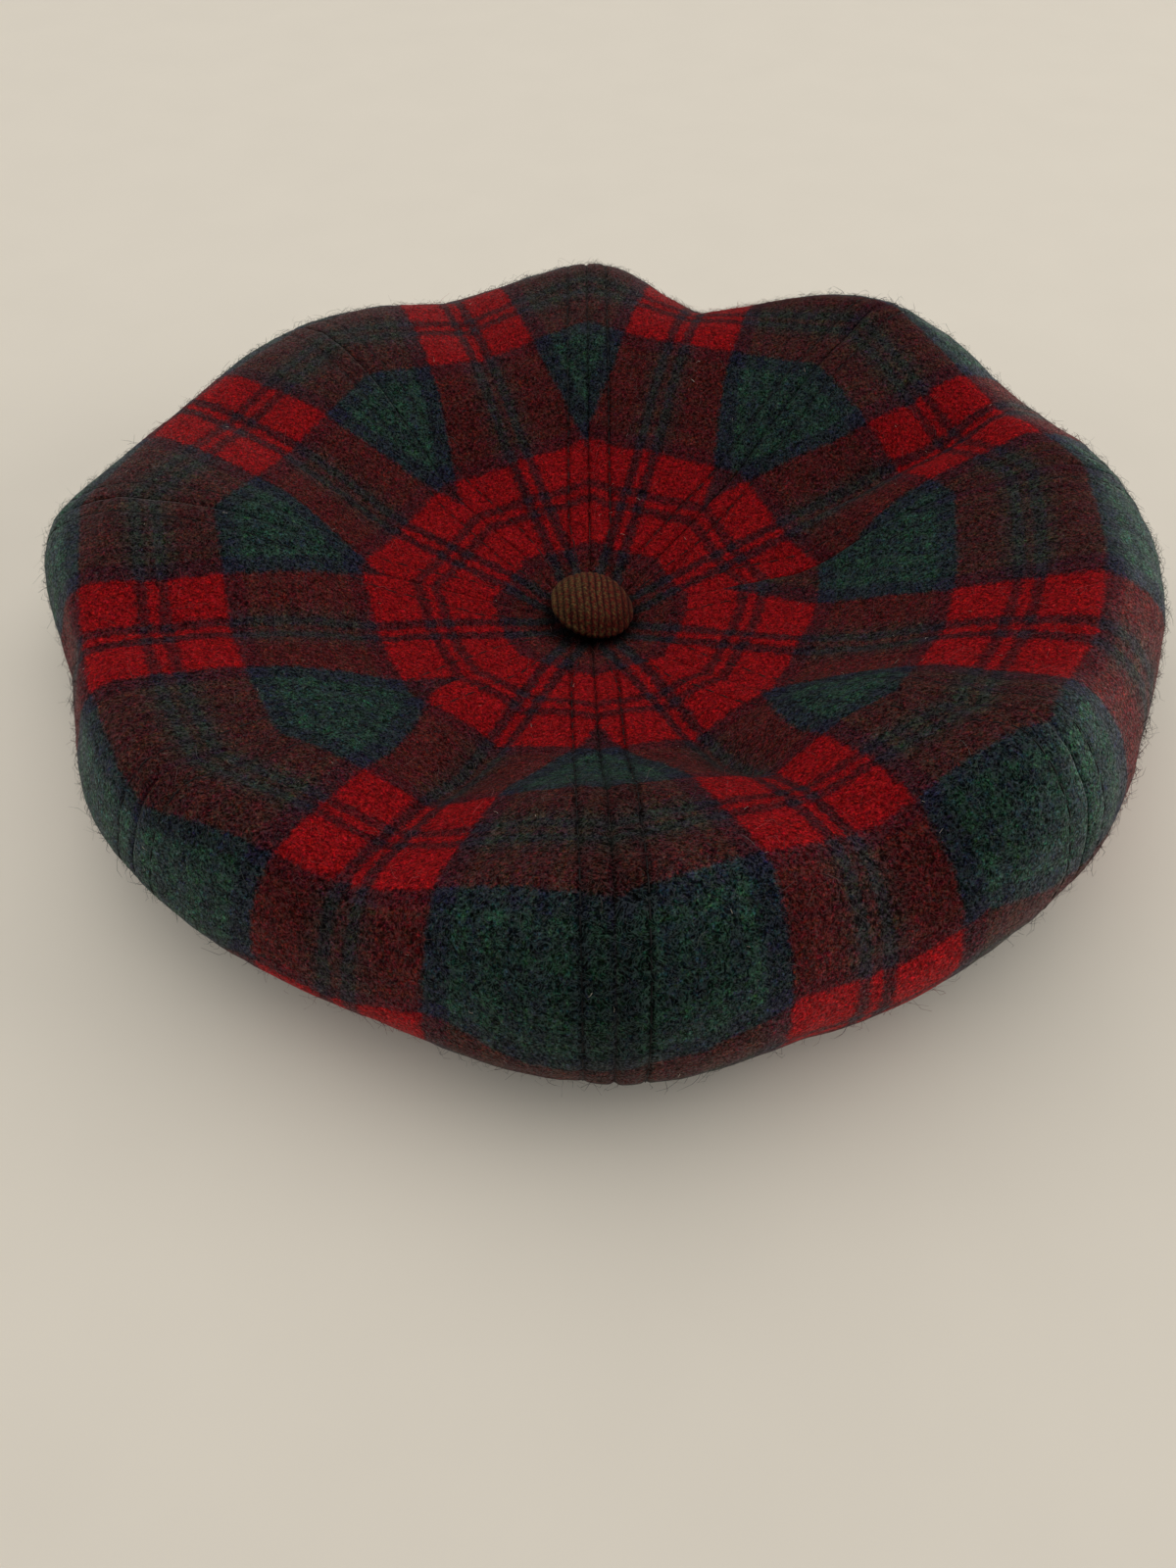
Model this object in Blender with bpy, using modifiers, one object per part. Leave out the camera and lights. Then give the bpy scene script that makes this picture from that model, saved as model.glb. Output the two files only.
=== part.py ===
"""An eight-gore wool tam o'shanter, lying as it falls: the crown's middle has sunk and its rim stands up in lobes.

The crown is one cloth surface, read from a table of sections round the hat.  Every other section is a seam,
which is the crest of a puffed lobe, and those between are folds, the valleys.  A section's profile runs from
the middle out over the rim and back in, underneath, to the headband.  Each gore is the leaf of that surface
between two seams, in one piece.

Lengths are in millimetres until a mesh is made, and azimuths run anticlockwise from +X.  The hat lies on the
plane z = 0 with its front at -Y.
"""

from collections import namedtuple
import math

import bmesh
import bpy
import numpy as np

MM = 0.001

# Cloth and gaps
CLOTH = 2.0
BAND_CLOTH = 2.5
SEAM_GAP = 0.6
SEAT_GAP = 0.4

# Headband
BAND_RADIUS = 92.0
BAND_HEIGHT = 24.0
BAND_STEPS = 64

# Covered button
BUTTON_RADIUS = 12.0
BUTTON_EDGE = 3.0
BUTTON_DOME = 5.0
BUTTON_TILT = math.radians(4.0)
BUTTON_STEPS = 28

# The crown's middle, where every section is alike
TIP_RADIUS = 3.0
CENTRE_HEIGHT = 6.0
SEAT_RADIUS = 13.0
SEAT_HEIGHT = 7.2
INNER_RADIUS = 27.0
INNER_HEIGHT = 11.5

# Radii at which the table gives the crown's height
MIDDLE_RADIUS = 45.0
RING_RADIUS = 62.0
WALL_RADIUS = 80.0
SLOPE_RADIUS = 96.0
CREST_RADIUS = 112.0
SHOULDER_RADIUS = 129.0

# How the rim turns under, from the widest point
RIM_TURN = 3.5
TUCK_IN = 12.0
TUCK_BACK = 27.0
UNDER_RISE = 2.5
NECK_RADIUS = 110.0
NECK_RISE = 8.0

# Lobes: how sharply a fold cuts in, and where along the profile the fold opens into a soft wave
LOBE_POWER = 2.3
WAVE_START = 80.0
WAVE_HALF = 124.0
WAVE_FULL = 160.0

GORES = 8
GORE_ROWS = 28
GORE_COLUMNS = 10

# One row per section, seams and folds by turns: azimuth in degrees, the heights at the radii above,
# the greatest radius (reach) and the height of the rim's underside.
Section = namedtuple("Section", "azimuth ring wall slope crest shoulder reach rim")
SECTIONS = (
    Section(272.0, 21.5, 34.0, 47.0, 54.0, 58.5, 150.5, 12.0),
    Section(295.5, 16.0, 24.5, 39.0, 49.0, 52.0, 146.0, 9.0),
    Section(314.5, 23.0, 36.5, 48.0, 56.0, 64.0, 147.5, 11.5),
    Section(335.0, 22.0, 30.0, 39.5, 47.0, 51.5, 145.5, 11.0),
    Section(369.0, 17.0, 29.5, 37.5, 42.5, 45.5, 153.5, 12.0),
    Section(383.5, 20.0, 24.0, 28.5, 32.5, 41.5, 152.5, 10.5),
    Section(407.0, 22.5, 33.5, 42.0, 47.0, 50.5, 154.0, 12.0),
    Section(433.5, 26.0, 36.0, 41.5, 39.5, 31.5, 142.5, 10.0),
    Section(451.0, 22.5, 34.0, 41.0, 44.0, 45.5, 148.5, 11.5),
    Section(471.5, 22.0, 30.5, 34.5, 36.0, 36.5, 144.5, 10.0),
    Section(493.0, 17.0, 28.5, 38.5, 43.0, 42.5, 148.5, 12.0),
    Section(516.0, 19.0, 28.5, 35.5, 39.5, 41.0, 139.0, 10.0),
    Section(537.5, 22.5, 34.0, 40.5, 43.5, 43.5, 149.5, 12.0),
    Section(560.0, 20.0, 28.0, 32.5, 35.5, 38.5, 138.0, 10.0),
    Section(586.5, 22.0, 30.0, 37.0, 42.5, 47.5, 143.0, 11.5),
    Section(608.0, 15.5, 20.5, 31.0, 39.0, 43.5, 142.0, 10.5),
)

# sRGB colours
WOOL_COLOUR = (0x3F, 0x22, 0x22)
BAND_COLOUR = (0x25, 0x28, 0x36)
BUTTON_COLOUR = (0x4A, 0x29, 0x1B)


def smooth_curve(knots, values, where):
    """The values along a smooth curve through the rows of values at the knots."""
    slopes = np.gradient(values, knots, axis=0)
    left = np.clip(np.searchsorted(knots, where, side="right") - 1, 0, len(knots) - 2)
    width = knots[left + 1] - knots[left]
    f = (where - knots[left]) / width
    shape = f.shape + (1,) * (values.ndim - 1)
    f, width = f.reshape(shape), width.reshape(shape)
    start, end = values[left], values[left + 1]
    start_slope, end_slope = slopes[left] * width, slopes[left + 1] * width
    return (
        (2 * f**3 - 3 * f**2 + 1) * start
        + (f**3 - 2 * f**2 + f) * start_slope
        + (3 * f**2 - 2 * f**3) * end
        + (f**3 - f**2) * end_slope
    )


def round_curve(rows, position):
    """A smooth curve round the hat, at each position, through that point's own row of evenly spaced values."""
    first = np.floor(position).astype(int)
    f = position - first
    weights = (
        -0.5 * f + f**2 - 0.5 * f**3,
        1 - 2.5 * f**2 + 1.5 * f**3,
        0.5 * f + 2 * f**2 - 1.5 * f**3,
        -0.5 * f**2 + 0.5 * f**3,
    )
    point = np.arange(len(position))
    near = [rows[point, (first + step) % rows.shape[1]] for step in (-1, 0, 1, 2)]
    return sum(weight[:, None] * value for weight, value in zip(weights, near))


def profile(section):
    """Radius and height of the cloth's outer side, from the middle over the rim to the headband."""
    drop = section.shoulder - section.rim
    return (
        (0.0, CENTRE_HEIGHT),
        (SEAT_RADIUS, SEAT_HEIGHT),
        (INNER_RADIUS, INNER_HEIGHT),
        (MIDDLE_RADIUS, (INNER_HEIGHT + section.ring) / 2),
        (RING_RADIUS, section.ring),
        (WALL_RADIUS, section.wall),
        (SLOPE_RADIUS, section.slope),
        (CREST_RADIUS, section.crest),
        (SHOULDER_RADIUS, section.shoulder),
        (section.reach - RIM_TURN, section.rim + 0.72 * drop),
        (section.reach, section.rim + 0.33 * drop),
        (section.reach - RIM_TURN, section.rim + RIM_TURN),
        (section.reach - TUCK_IN, section.rim),
        (section.reach - TUCK_BACK, section.rim + UNDER_RISE),
        (NECK_RADIUS, section.rim + NECK_RISE),
        (BAND_RADIUS + SEAT_GAP, BAND_HEIGHT - CLOTH),
    )


PROFILES = np.array([profile(section) for section in SECTIONS])
STEPS = np.linalg.norm(np.diff(PROFILES, axis=1), axis=2).mean(axis=0)
STATIONS = np.concatenate(([0.0], np.cumsum(STEPS)))
SECTION_ANGLE = 360.0 / len(SECTIONS)
SECTION_SHIFTS = np.array([[section.azimuth - SECTION_ANGLE * n] for n, section in enumerate(SECTIONS)])


def crown(turn, along):
    """Points of the cloth's outer side: turn counts sections round the hat, along is mm from the middle."""
    profiles = smooth_curve(STATIONS, PROFILES.swapaxes(0, 1), along)
    seams = round_curve(profiles[:, 0::2], turn / 2)
    folds = round_curve(profiles[:, 1::2], (turn - 1) / 2)
    from_seam = np.abs((turn + 1) % 2 - 1)
    arch = 1 - from_seam**LOBE_POWER
    wave = 0.5 + 0.5 * np.cos(math.pi * from_seam)
    soft = np.interp(along, (WAVE_START, WAVE_HALF, WAVE_FULL), (0.0, 0.35, 1.0))
    seam_share = (arch * (1 - soft) + wave * soft)[:, None]
    radius, height = (seams * seam_share + folds * (1 - seam_share)).T
    shifts = np.broadcast_to(SECTION_SHIFTS, (len(turn), len(SECTIONS), 1))
    azimuth = np.radians(SECTION_ANGLE * turn + round_curve(shifts, turn)[:, 0])
    return np.stack((radius * np.cos(azimuth), radius * np.sin(azimuth), height), axis=1)


def linear(srgb):
    """An 8-bit sRGB colour as the linear RGBA that a shader takes."""
    parts = [channel / 255 for channel in srgb]
    return [p / 12.92 if p <= 0.04045 else ((p + 0.055) / 1.055) ** 2.4 for p in parts] + [1.0]


def material(name, srgb, roughness):
    made = bpy.data.materials.new(name)
    made.use_nodes = True
    shader = made.node_tree.nodes["Principled BSDF"]
    shader.inputs["Base Color"].default_value = linear(srgb)
    shader.inputs["Roughness"].default_value = roughness
    shader.inputs["Metallic"].default_value = 0.0
    made.diffuse_color = linear(srgb)
    return made


def add_object(name, bm, collection, surface):
    """A smooth-shaded object from a bmesh, linked to the hat's collection."""
    mesh = bpy.data.meshes.new(name)
    bm.to_mesh(mesh)
    bm.free()
    mesh.shade_smooth()
    mesh.materials.append(surface)
    made = bpy.data.objects.new(name, mesh)
    collection.objects.link(made)
    return made


def turned_object(name, outline, steps, collection, surface):
    """An object turned round Z from an outline of (radius, height) in mm, read down its outer side."""
    bm = bmesh.new()
    corners = [bm.verts.new((radius * MM, 0.0, height * MM)) for radius, height in outline]
    closed = outline[0][0] > 0.0
    for start, end in zip(corners, corners[1:] + corners[:1] if closed else corners[1:]):
        bm.edges.new((start, end))
    made = add_object(name, bm, collection, surface)
    screw = made.modifiers.new("Turn", "SCREW")
    screw.steps = steps
    screw.render_steps = steps
    screw.use_merge_vertices = True
    screw.merge_threshold = 0.00001
    screw.use_smooth_shade = True
    return made


def add_gore(number, collection, surface):
    """The leaf of the crown between one seam and the next, less half the seam gap on each side."""
    bm = bmesh.new()
    bmesh.ops.create_grid(bm, x_segments=GORE_COLUMNS, y_segments=GORE_ROWS, size=0.5)
    across, row, _ = np.array([vert.co for vert in bm.verts]).T + 0.5
    along = TIP_RADIUS + (STATIONS[-1] - TIP_RADIUS) * row
    radius = smooth_curve(STATIONS, PROFILES[:, :, 0].mean(axis=0), along)
    inset = SEAM_GAP / 2 / (radius * math.radians(SECTION_ANGLE))
    turn = 2 * number + 2 - inset - (2 - 2 * inset) * across
    for vert, point in zip(bm.verts, crown(turn, along) * MM):
        vert.co = point
    gore = add_object(f"crown_gore_{number + 1}", bm, collection, surface)
    wall = gore.modifiers.new("Cloth", "SOLIDIFY")
    wall.thickness = CLOTH * MM
    wall.offset = -1.0
    return gore


def add_headband(collection, surface):
    inner = BAND_RADIUS - BAND_CLOTH
    outline = ((BAND_RADIUS, BAND_HEIGHT), (BAND_RADIUS, 0.0), (inner, 0.0), (inner, BAND_HEIGHT))
    return turned_object("headband", outline, BAND_STEPS, collection, surface)


def add_button(collection, surface):
    """A domed button covered in cloth, tipped a little to the front, just clear of the crown."""
    edge = BUTTON_EDGE
    corner = edge * math.sqrt(0.5)
    outline = (
        (0.0, edge + BUTTON_DOME),
        (0.4 * BUTTON_RADIUS, edge + 0.9 * BUTTON_DOME),
        (0.75 * BUTTON_RADIUS, edge + 0.55 * BUTTON_DOME),
        (BUTTON_RADIUS - edge + corner, edge / 2 + corner / 2 + 0.6),
        (BUTTON_RADIUS, edge / 2 + 0.3),
        (BUTTON_RADIUS - edge / 4, edge / 6),
        (BUTTON_RADIUS - edge / 2, 0.0),
        (0.0, 0.0),
    )
    button = turned_object("button", outline, BUTTON_STEPS, collection, surface)
    tipped = (BUTTON_RADIUS - edge / 2) * math.sin(BUTTON_TILT)
    button.location.z = (SEAT_HEIGHT + SEAT_GAP + tipped) * MM
    button.rotation_euler.x = BUTTON_TILT
    return button


def main():
    for old in list(bpy.data.objects):
        bpy.data.objects.remove(old)
    hat = bpy.data.collections.new("tam_o_shanter")
    bpy.context.scene.collection.children.link(hat)
    wool = material("tartan_wool", WOOL_COLOUR, 0.95)
    for number in range(GORES):
        add_gore(number, hat, wool)
    add_headband(hat, material("band_wool", BAND_COLOUR, 0.95))
    add_button(hat, material("ribbed_cloth", BUTTON_COLOUR, 0.85))


main()
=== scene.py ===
"""Looks of the eight-gore tartan tam o'shanter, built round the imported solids.

The crown's sections, in millimetres, are those the solids were made from. Each gore is rebuilt from them as a
finer leaf of cloth, with its sewn edges, topstitching, gathers and lumps, and carries the tartan as coordinates of
the flat cloth, in mm: s runs along the gore from the hat's middle, t runs across it from the gore's own middle.
"""

from collections import namedtuple
import math

import bpy
import numpy as np
from mathutils import Matrix, Vector


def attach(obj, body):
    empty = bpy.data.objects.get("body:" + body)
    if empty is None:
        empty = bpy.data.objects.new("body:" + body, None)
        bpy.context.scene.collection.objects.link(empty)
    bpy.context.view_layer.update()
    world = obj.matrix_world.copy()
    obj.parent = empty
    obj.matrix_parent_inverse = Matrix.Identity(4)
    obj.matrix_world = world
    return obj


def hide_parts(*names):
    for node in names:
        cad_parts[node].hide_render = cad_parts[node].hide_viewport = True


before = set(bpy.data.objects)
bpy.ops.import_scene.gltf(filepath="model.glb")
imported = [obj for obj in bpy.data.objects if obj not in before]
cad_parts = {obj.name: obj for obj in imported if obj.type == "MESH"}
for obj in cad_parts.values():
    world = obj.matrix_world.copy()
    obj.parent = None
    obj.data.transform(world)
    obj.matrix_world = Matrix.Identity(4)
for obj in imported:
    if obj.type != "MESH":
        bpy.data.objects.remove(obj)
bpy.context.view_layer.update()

MM = 0.001

# -------- sizes

# In mm where nothing else is said
CLOTH = 2.0
BAND_CLOTH = 2.5
SEAT_GAP = 0.4
BAND_RADIUS = 92.0
BAND_HEIGHT = 24.0
BAND_STITCHES = 4.5
BAND_STITCH_PITCH = 3.2
BAND_STEPS = 288
BUTTON_RADIUS = 12.0
BUTTON_EDGE = 3.0
BUTTON_DOME = 5.0
BUTTON_RINGS = 55
BUTTON_STEPS = 168
RIB_PITCH = 1.8
RIB_HEIGHT = 0.35
# The button is tipped towards the front, and leans to the right as it hangs loose on its shank
BUTTON_TILT = math.radians(4.0)
BUTTON_LEAN = math.radians(13.0)

TIP_RADIUS = 3.0
CENTRE_HEIGHT = 6.0
SEAT_RADIUS = 13.0
SEAT_HEIGHT = 7.2
INNER_RADIUS = 27.0
INNER_HEIGHT = 11.5
MIDDLE_RADIUS = 45.0
RING_RADIUS = 62.0
WALL_RADIUS = 80.0
SLOPE_RADIUS = 96.0
CREST_RADIUS = 112.0
SHOULDER_RADIUS = 129.0
RIM_TURN = 3.5
# How far up from rim to shoulder the cloth turns over, and how far up it reaches farthest out
UPPER_DROP = 0.72
LOWER_DROP = 0.33
TUCK_IN = 12.0
TUCK_BACK = 27.0
UNDER_RISE = 2.5
NECK_RADIUS = 110.0
NECK_RISE = 8.0
# Between its folds the crown is arched, and turns to an even wave by these shares at so many mm from the middle
LOBE_POWER = 2.3
WAVE = ((80.0, 0.0), (124.0, 0.35), (160.0, 1.0))
GORES = 8

Section = namedtuple("Section", "azimuth ring wall slope crest shoulder reach rim")
SECTIONS = [Section(*row) for row in (
    (272.0, 21.5, 34.0, 47.0, 54.0, 58.5, 150.5, 12.0),
    (295.5, 16.0, 24.5, 39.0, 49.0, 52.0, 146.0, 9.0),
    (314.5, 23.0, 36.5, 48.0, 56.0, 64.0, 147.5, 11.5),
    (335.0, 22.0, 30.0, 39.5, 47.0, 51.5, 145.5, 11.0),
    (369.0, 17.0, 29.5, 37.5, 42.5, 45.5, 153.5, 12.0),
    (383.5, 20.0, 24.0, 28.5, 32.5, 41.5, 152.5, 10.5),
    (407.0, 22.5, 33.5, 42.0, 47.0, 50.5, 154.0, 12.0),
    (433.5, 26.0, 36.0, 41.5, 39.5, 31.5, 142.5, 10.0),
    (451.0, 22.5, 34.0, 41.0, 44.0, 45.5, 148.5, 11.5),
    (471.5, 22.0, 30.5, 34.5, 36.0, 36.5, 144.5, 10.0),
    (493.0, 17.0, 28.5, 38.5, 43.0, 42.5, 148.5, 12.0),
    (516.0, 19.0, 28.5, 35.5, 39.5, 41.0, 139.0, 10.0),
    (537.5, 22.5, 34.0, 40.5, 43.5, 43.5, 149.5, 12.0),
    (560.0, 20.0, 28.0, 32.5, 35.5, 38.5, 138.0, 10.0),
    (586.5, 22.0, 30.0, 37.0, 42.5, 47.5, 143.0, 11.5),
    (608.0, 15.5, 20.5, 31.0, 39.0, 43.5, 142.0, 10.5),
)]

# The tartan's sett, and the cut of a gore
RED_BAND = 36.0
GREEN_BAND = 37.7
FIRST_RED = 26.35
HALF_GORE = 54.0
# A seam runs aslant of the cloth's grain near the button and along it at the rim. So at these lengths from the middle
# it has gained so many mm on the pattern
GAINS = ((0.0, 0.0), (67.5, 5.1), (107.4, 7.35), (126.2, 8.15), (144.8, 8.75))
# How far each gore's pattern has slid sideways at the rim, as cut and sewn
SLIPS = (5.5, 0.0, 0.0, 0.0, 0.0, 0.0, -1.5, -2.0)
SLIP_START, SLIP_WITHIN = 60.0, 80.0
# How far along each gore's pattern has slid round the rim in its fold, which brings the next band into sight
ROLLS = (9.0, 1.5, 0.0, 0.0, 0.0, 0.0, 1.5, 14.0)
ROLL_START, ROLL_WITHIN = 136.0, 30.0
FOLD_EDGE, FOLD_WITHIN = 0.75, 0.35
# Round the middle a gore's pattern is eased in at its seams, by these factors at so many mm, so that its red stripe
# fills the ring. The strip within so many mm of the gore's own middle isn't eased.
EASED = ((62.0, 0.73), (92.0, 1.0))
UNEASED = 5.0
# How plainly each seam shows through the nap, where 1 is a seam that nothing hides
SEAMS_SEEN = (1.0, 0.35, 0.4, 0.8, 0.9, 0.6, 0.5, 0.35)

# Sewing
TOPSTITCH = 6.3
STITCH_PITCH = 5.0
FIRST_STITCH = 17.0
STITCH_STAGGER = 1.7
LAST_STITCH = 4.0
ALLOWANCE = 9.0
ALLOWANCE_CLOTH = 0.8
SEAM_HALF_GAP = 0.02
# How gathering pulls the cloth in beside a seam: strength, mm from one pull to the next, and how it is set off
GATHERS = ((0.5, 6.1, 1), (0.35, 9.7, 2), (0.3, 4.3, 3))
# The cloth's soft lumps: height, width and seed
LUMPS = ((0.30, 34.0, 5), (0.15, 12.0, 6), (0.06, 5.0, 7))

# A gore's grid: rows along it, columns at these distances from each seam, and more across its middle
ROWS = 226
EDGE_COLUMNS = (0.12, 0.45, 0.9, 1.45, 2.1, 2.9, 3.8, 4.6, 5.2, 5.6, 5.95, 6.3, 6.65, 7.0, 7.5, 8.3, 9.4, 10.8)
# For each side: those columns, the number across the middle, and the half width below which they are drawn in
OUTER_COLUMNS = EDGE_COLUMNS, 32, 13.3
INNER_COLUMNS = (0.12, 2.5, 5.5, 8.4, 9.0, 9.6), 10, 12.0
# The rows down to which raised hairs stand, and stray ones
NAP_ROWS = 165
STRAY_ROWS = 185
# Points across a row at which the gore is measured, the middle one on the gore's middle
SAMPLES = 97
# The map for the finish is laid out by the widest row, and its inner side is kept small, so many mm off the outer
WIDE_ROW = 150
MAP_GAP = 2.0
INNER_SHARE = 0.4


# -------- the crown's surface


def smooth_curve(knots, values, where):
    """The values along a smooth curve through the rows of values at the knots."""
    slopes = np.gradient(values, knots, axis=0)
    left = np.clip(np.searchsorted(knots, where, side="right") - 1, 0, len(knots) - 2)
    width = knots[left + 1] - knots[left]
    f = (where - knots[left]) / width
    shape = f.shape + (1,) * (values.ndim - 1)
    f, width = f.reshape(shape), width.reshape(shape)
    start, end = values[left], values[left + 1]
    start_slope, end_slope = slopes[left] * width, slopes[left + 1] * width
    return (
        (2 * f**3 - 3 * f**2 + 1) * start
        + (f**3 - 2 * f**2 + f) * start_slope
        + (3 * f**2 - 2 * f**3) * end
        + (f**3 - f**2) * end_slope
    )


def round_curve(rows, position):
    """A smooth curve round the hat, at each position, through that point's own row of evenly spaced values."""
    first = np.floor(position).astype(int)
    f = position - first
    weights = (
        -0.5 * f + f**2 - 0.5 * f**3,
        1 - 2.5 * f**2 + 1.5 * f**3,
        0.5 * f + 2 * f**2 - 1.5 * f**3,
        -0.5 * f**2 + 0.5 * f**3,
    )
    point = np.arange(len(position))
    near = [rows[point, (first + step) % rows.shape[1]] for step in (-1, 0, 1, 2)]
    return sum(weight[:, None] * value for weight, value in zip(weights, near))


def profile(section):
    """Radius and height of the cloth's outer side, from the middle over the rim to the headband."""
    drop = section.shoulder - section.rim
    return (
        (0.0, CENTRE_HEIGHT),
        (SEAT_RADIUS, SEAT_HEIGHT),
        (INNER_RADIUS, INNER_HEIGHT),
        (MIDDLE_RADIUS, (INNER_HEIGHT + section.ring) / 2),
        (RING_RADIUS, section.ring),
        (WALL_RADIUS, section.wall),
        (SLOPE_RADIUS, section.slope),
        (CREST_RADIUS, section.crest),
        (SHOULDER_RADIUS, section.shoulder),
        (section.reach - RIM_TURN, section.rim + UPPER_DROP * drop),
        (section.reach, section.rim + LOWER_DROP * drop),
        (section.reach - RIM_TURN, section.rim + RIM_TURN),
        (section.reach - TUCK_IN, section.rim),
        (section.reach - TUCK_BACK, section.rim + UNDER_RISE),
        (NECK_RADIUS, section.rim + NECK_RISE),
        (BAND_RADIUS + SEAT_GAP, BAND_HEIGHT - CLOTH),
    )


PROFILES = np.array([profile(section) for section in SECTIONS])
STEPS = np.linalg.norm(np.diff(PROFILES, axis=1), axis=2).mean(axis=0)
STATIONS = np.concatenate(([0.0], np.cumsum(STEPS)))
SECTION_ANGLE = 360.0 / len(SECTIONS)
SECTION_SHIFTS = np.array([[section.azimuth - SECTION_ANGLE * n] for n, section in enumerate(SECTIONS)])


def crown(turn, along):
    """Points of the cloth's outer side: turn counts sections round the hat, along is mm from the middle."""
    profiles = smooth_curve(STATIONS, PROFILES.swapaxes(0, 1), along)
    seams = round_curve(profiles[:, 0::2], turn / 2)
    folds = round_curve(profiles[:, 1::2], (turn - 1) / 2)
    from_seam = np.abs((turn + 1) % 2 - 1)
    arch = 1 - from_seam**LOBE_POWER
    wave = 0.5 + 0.5 * np.cos(math.pi * from_seam)
    soft = np.interp(along, *zip(*WAVE))
    seam_share = (arch * (1 - soft) + wave * soft)[:, None]
    radius, height = (seams * seam_share + folds * (1 - seam_share)).T
    shifts = np.broadcast_to(SECTION_SHIFTS, (len(turn), len(SECTIONS), 1))
    azimuth = np.radians(SECTION_ANGLE * turn + round_curve(shifts, turn)[:, 0])
    return np.stack((radius * np.cos(azimuth), radius * np.sin(azimuth), height), axis=1)


def crown_normals(turn, along):
    """Unit normals that point out of the cloth's outer side."""
    across = crown(turn + 0.012, along) - crown(turn - 0.012, along)
    down = crown(turn, along + 0.4) - crown(turn, along - 0.4)
    normal = np.cross(down, across)
    return normal / np.linalg.norm(normal, axis=1, keepdims=True)


def lumps(points, size, seed):
    """A soft unevenness of about -1 to 1 at each point, whose bumps are about that many mm across."""
    count = 14
    draw = np.random.default_rng(seed)
    waves = draw.normal(size=(count, 3))
    waves *= (2 * math.pi / size / np.linalg.norm(waves, axis=1) * draw.uniform(0.6, 1.4, count))[:, None]
    return np.sin(points @ waves.T + draw.uniform(0, 2 * math.pi, count)).sum(axis=1) / 4.0


# -------- gores


def columns_across(width, edge, count, least):
    """The distances of a row's points from its first seam."""
    edge = np.array(edge) * min(1.0, width / 2 / least)
    edge[0] = SEAM_HALF_GAP
    middle = np.linspace(edge[-1], width - edge[-1], count + 2)[1:-1]
    return np.concatenate((edge, middle, width - edge[::-1]))


def leaf(number, columns):
    """Where a gore's points lie, as arrays of rows by columns.

    They are turn and along, s and t of the flat cloth, the distance to the nearer seam, the length along the gore,
    and the nearer seam's number.
    """
    along = np.linspace(TIP_RADIUS, STATIONS[-1], ROWS)
    share = np.linspace(0.0, 1.0, SAMPLES)
    turn = 2.0 * number + 2.0 - 2.0 * share
    grid = crown(np.tile(turn, ROWS), np.repeat(along, SAMPLES)).reshape(ROWS, SAMPLES, 3)
    across, down = (np.linalg.norm(np.diff(grid, axis=axis), axis=2) for axis in (1, 0))
    reach = np.concatenate((np.zeros((ROWS, 1)), np.cumsum(across, axis=1)), axis=1)
    length = TIP_RADIUS + np.concatenate((np.zeros((1, SAMPLES)), np.cumsum(down, axis=0)), axis=0)
    width, middle = reach[:, [-1]], reach[:, [SAMPLES // 2]]
    where = np.array([columns_across(w, *columns) for w in width[:, 0]])
    shares = np.array([np.interp(w, r, share) for w, r in zip(where, reach)])
    lengths = np.array([np.interp(sh, share, row) for sh, row in zip(shares, length)])
    turns = 2.0 * number + 2.0 - 2.0 * shares
    toward_seam = 1.0 - np.abs((turns + 1) % 2 - 1)
    lean = 1 - np.cos(np.radians(SECTION_ANGLE) * toward_seam)
    s = lengths - np.interp(lengths, *zip(*GAINS)) * lean / (1 - math.cos(math.radians(SECTION_ANGLE)))
    in_fold = np.clip((FOLD_EDGE - toward_seam) / FOLD_WITHIN, 0, 1)
    s += ROLLS[number] * np.clip((lengths - ROLL_START) / ROLL_WITHIN, 0, 1) * in_fold
    t = (where - middle) * np.minimum(1.0, HALF_GORE / np.maximum(middle, width - middle))
    eased = UNEASED + (np.abs(t) - UNEASED) * np.interp(lengths, *zip(*EASED))
    t = np.where(np.abs(t) > UNEASED, np.sign(t) * eased, t)
    t -= SLIPS[number] * np.clip((lengths - SLIP_START) / SLIP_WITHIN, 0, 1)
    seam_number = np.where(where < width / 2, number + 1, number) % GORES
    alongs = np.broadcast_to(along[:, None], turns.shape)
    return turns, alongs, s, t, np.minimum(where, width - where), lengths, seam_number


def sewn_relief(seam, length, seam_number, points):
    """How far sewing, gathering and handling lift the cloth off the plain surface, in mm."""
    phase = 2.4 * seam_number
    pull = sum(strength * np.sin(2 * math.pi * length / wave + n * phase) for strength, wave, n in GATHERS)
    shown = np.array(SEAMS_SEEN)[seam_number]
    roll = -(0.15 + 0.4 * shown) * np.exp(-((seam / 0.6) ** 2))
    needle = 0.75 + 0.25 * np.cos(2 * math.pi * length / STITCH_PITCH)
    groove = -0.38 * shown * np.exp(-(((seam - TOPSTITCH) / 0.6) ** 2)) * needle
    welt = 0.16 * shown * np.sin(math.pi * np.clip((seam - 0.6) / (TOPSTITCH - 1.2), 0, 1))
    pucker = 0.24 * shown * pull * np.exp(-np.abs(seam - 4.0) / 4.5) * np.clip(length / 20.0, 0, 1)
    return roll + groove + welt + pucker + sum(height * lumps(points, size, seed) for height, size, seed in LUMPS)


def strip(first, second, first_at, second_at):
    """Triangles that join two rows of points, each row with its own spacing."""
    faces, i, k = [], 0, 0
    while i < len(first) - 1 or k < len(second) - 1:
        step_first = k == len(second) - 1 or (i < len(first) - 1 and first_at[i + 1] <= second_at[k + 1])
        if step_first:
            faces.append((first[i], first[i + 1], second[k]))
            i += 1
        else:
            faces.append((first[i], second[k + 1], second[k]))
            k += 1
    return faces


def placed(name, data):
    """An object of that name in the scene."""
    made = bpy.data.objects.new(name, data)
    bpy.context.scene.collection.objects.link(made)
    return made


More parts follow.
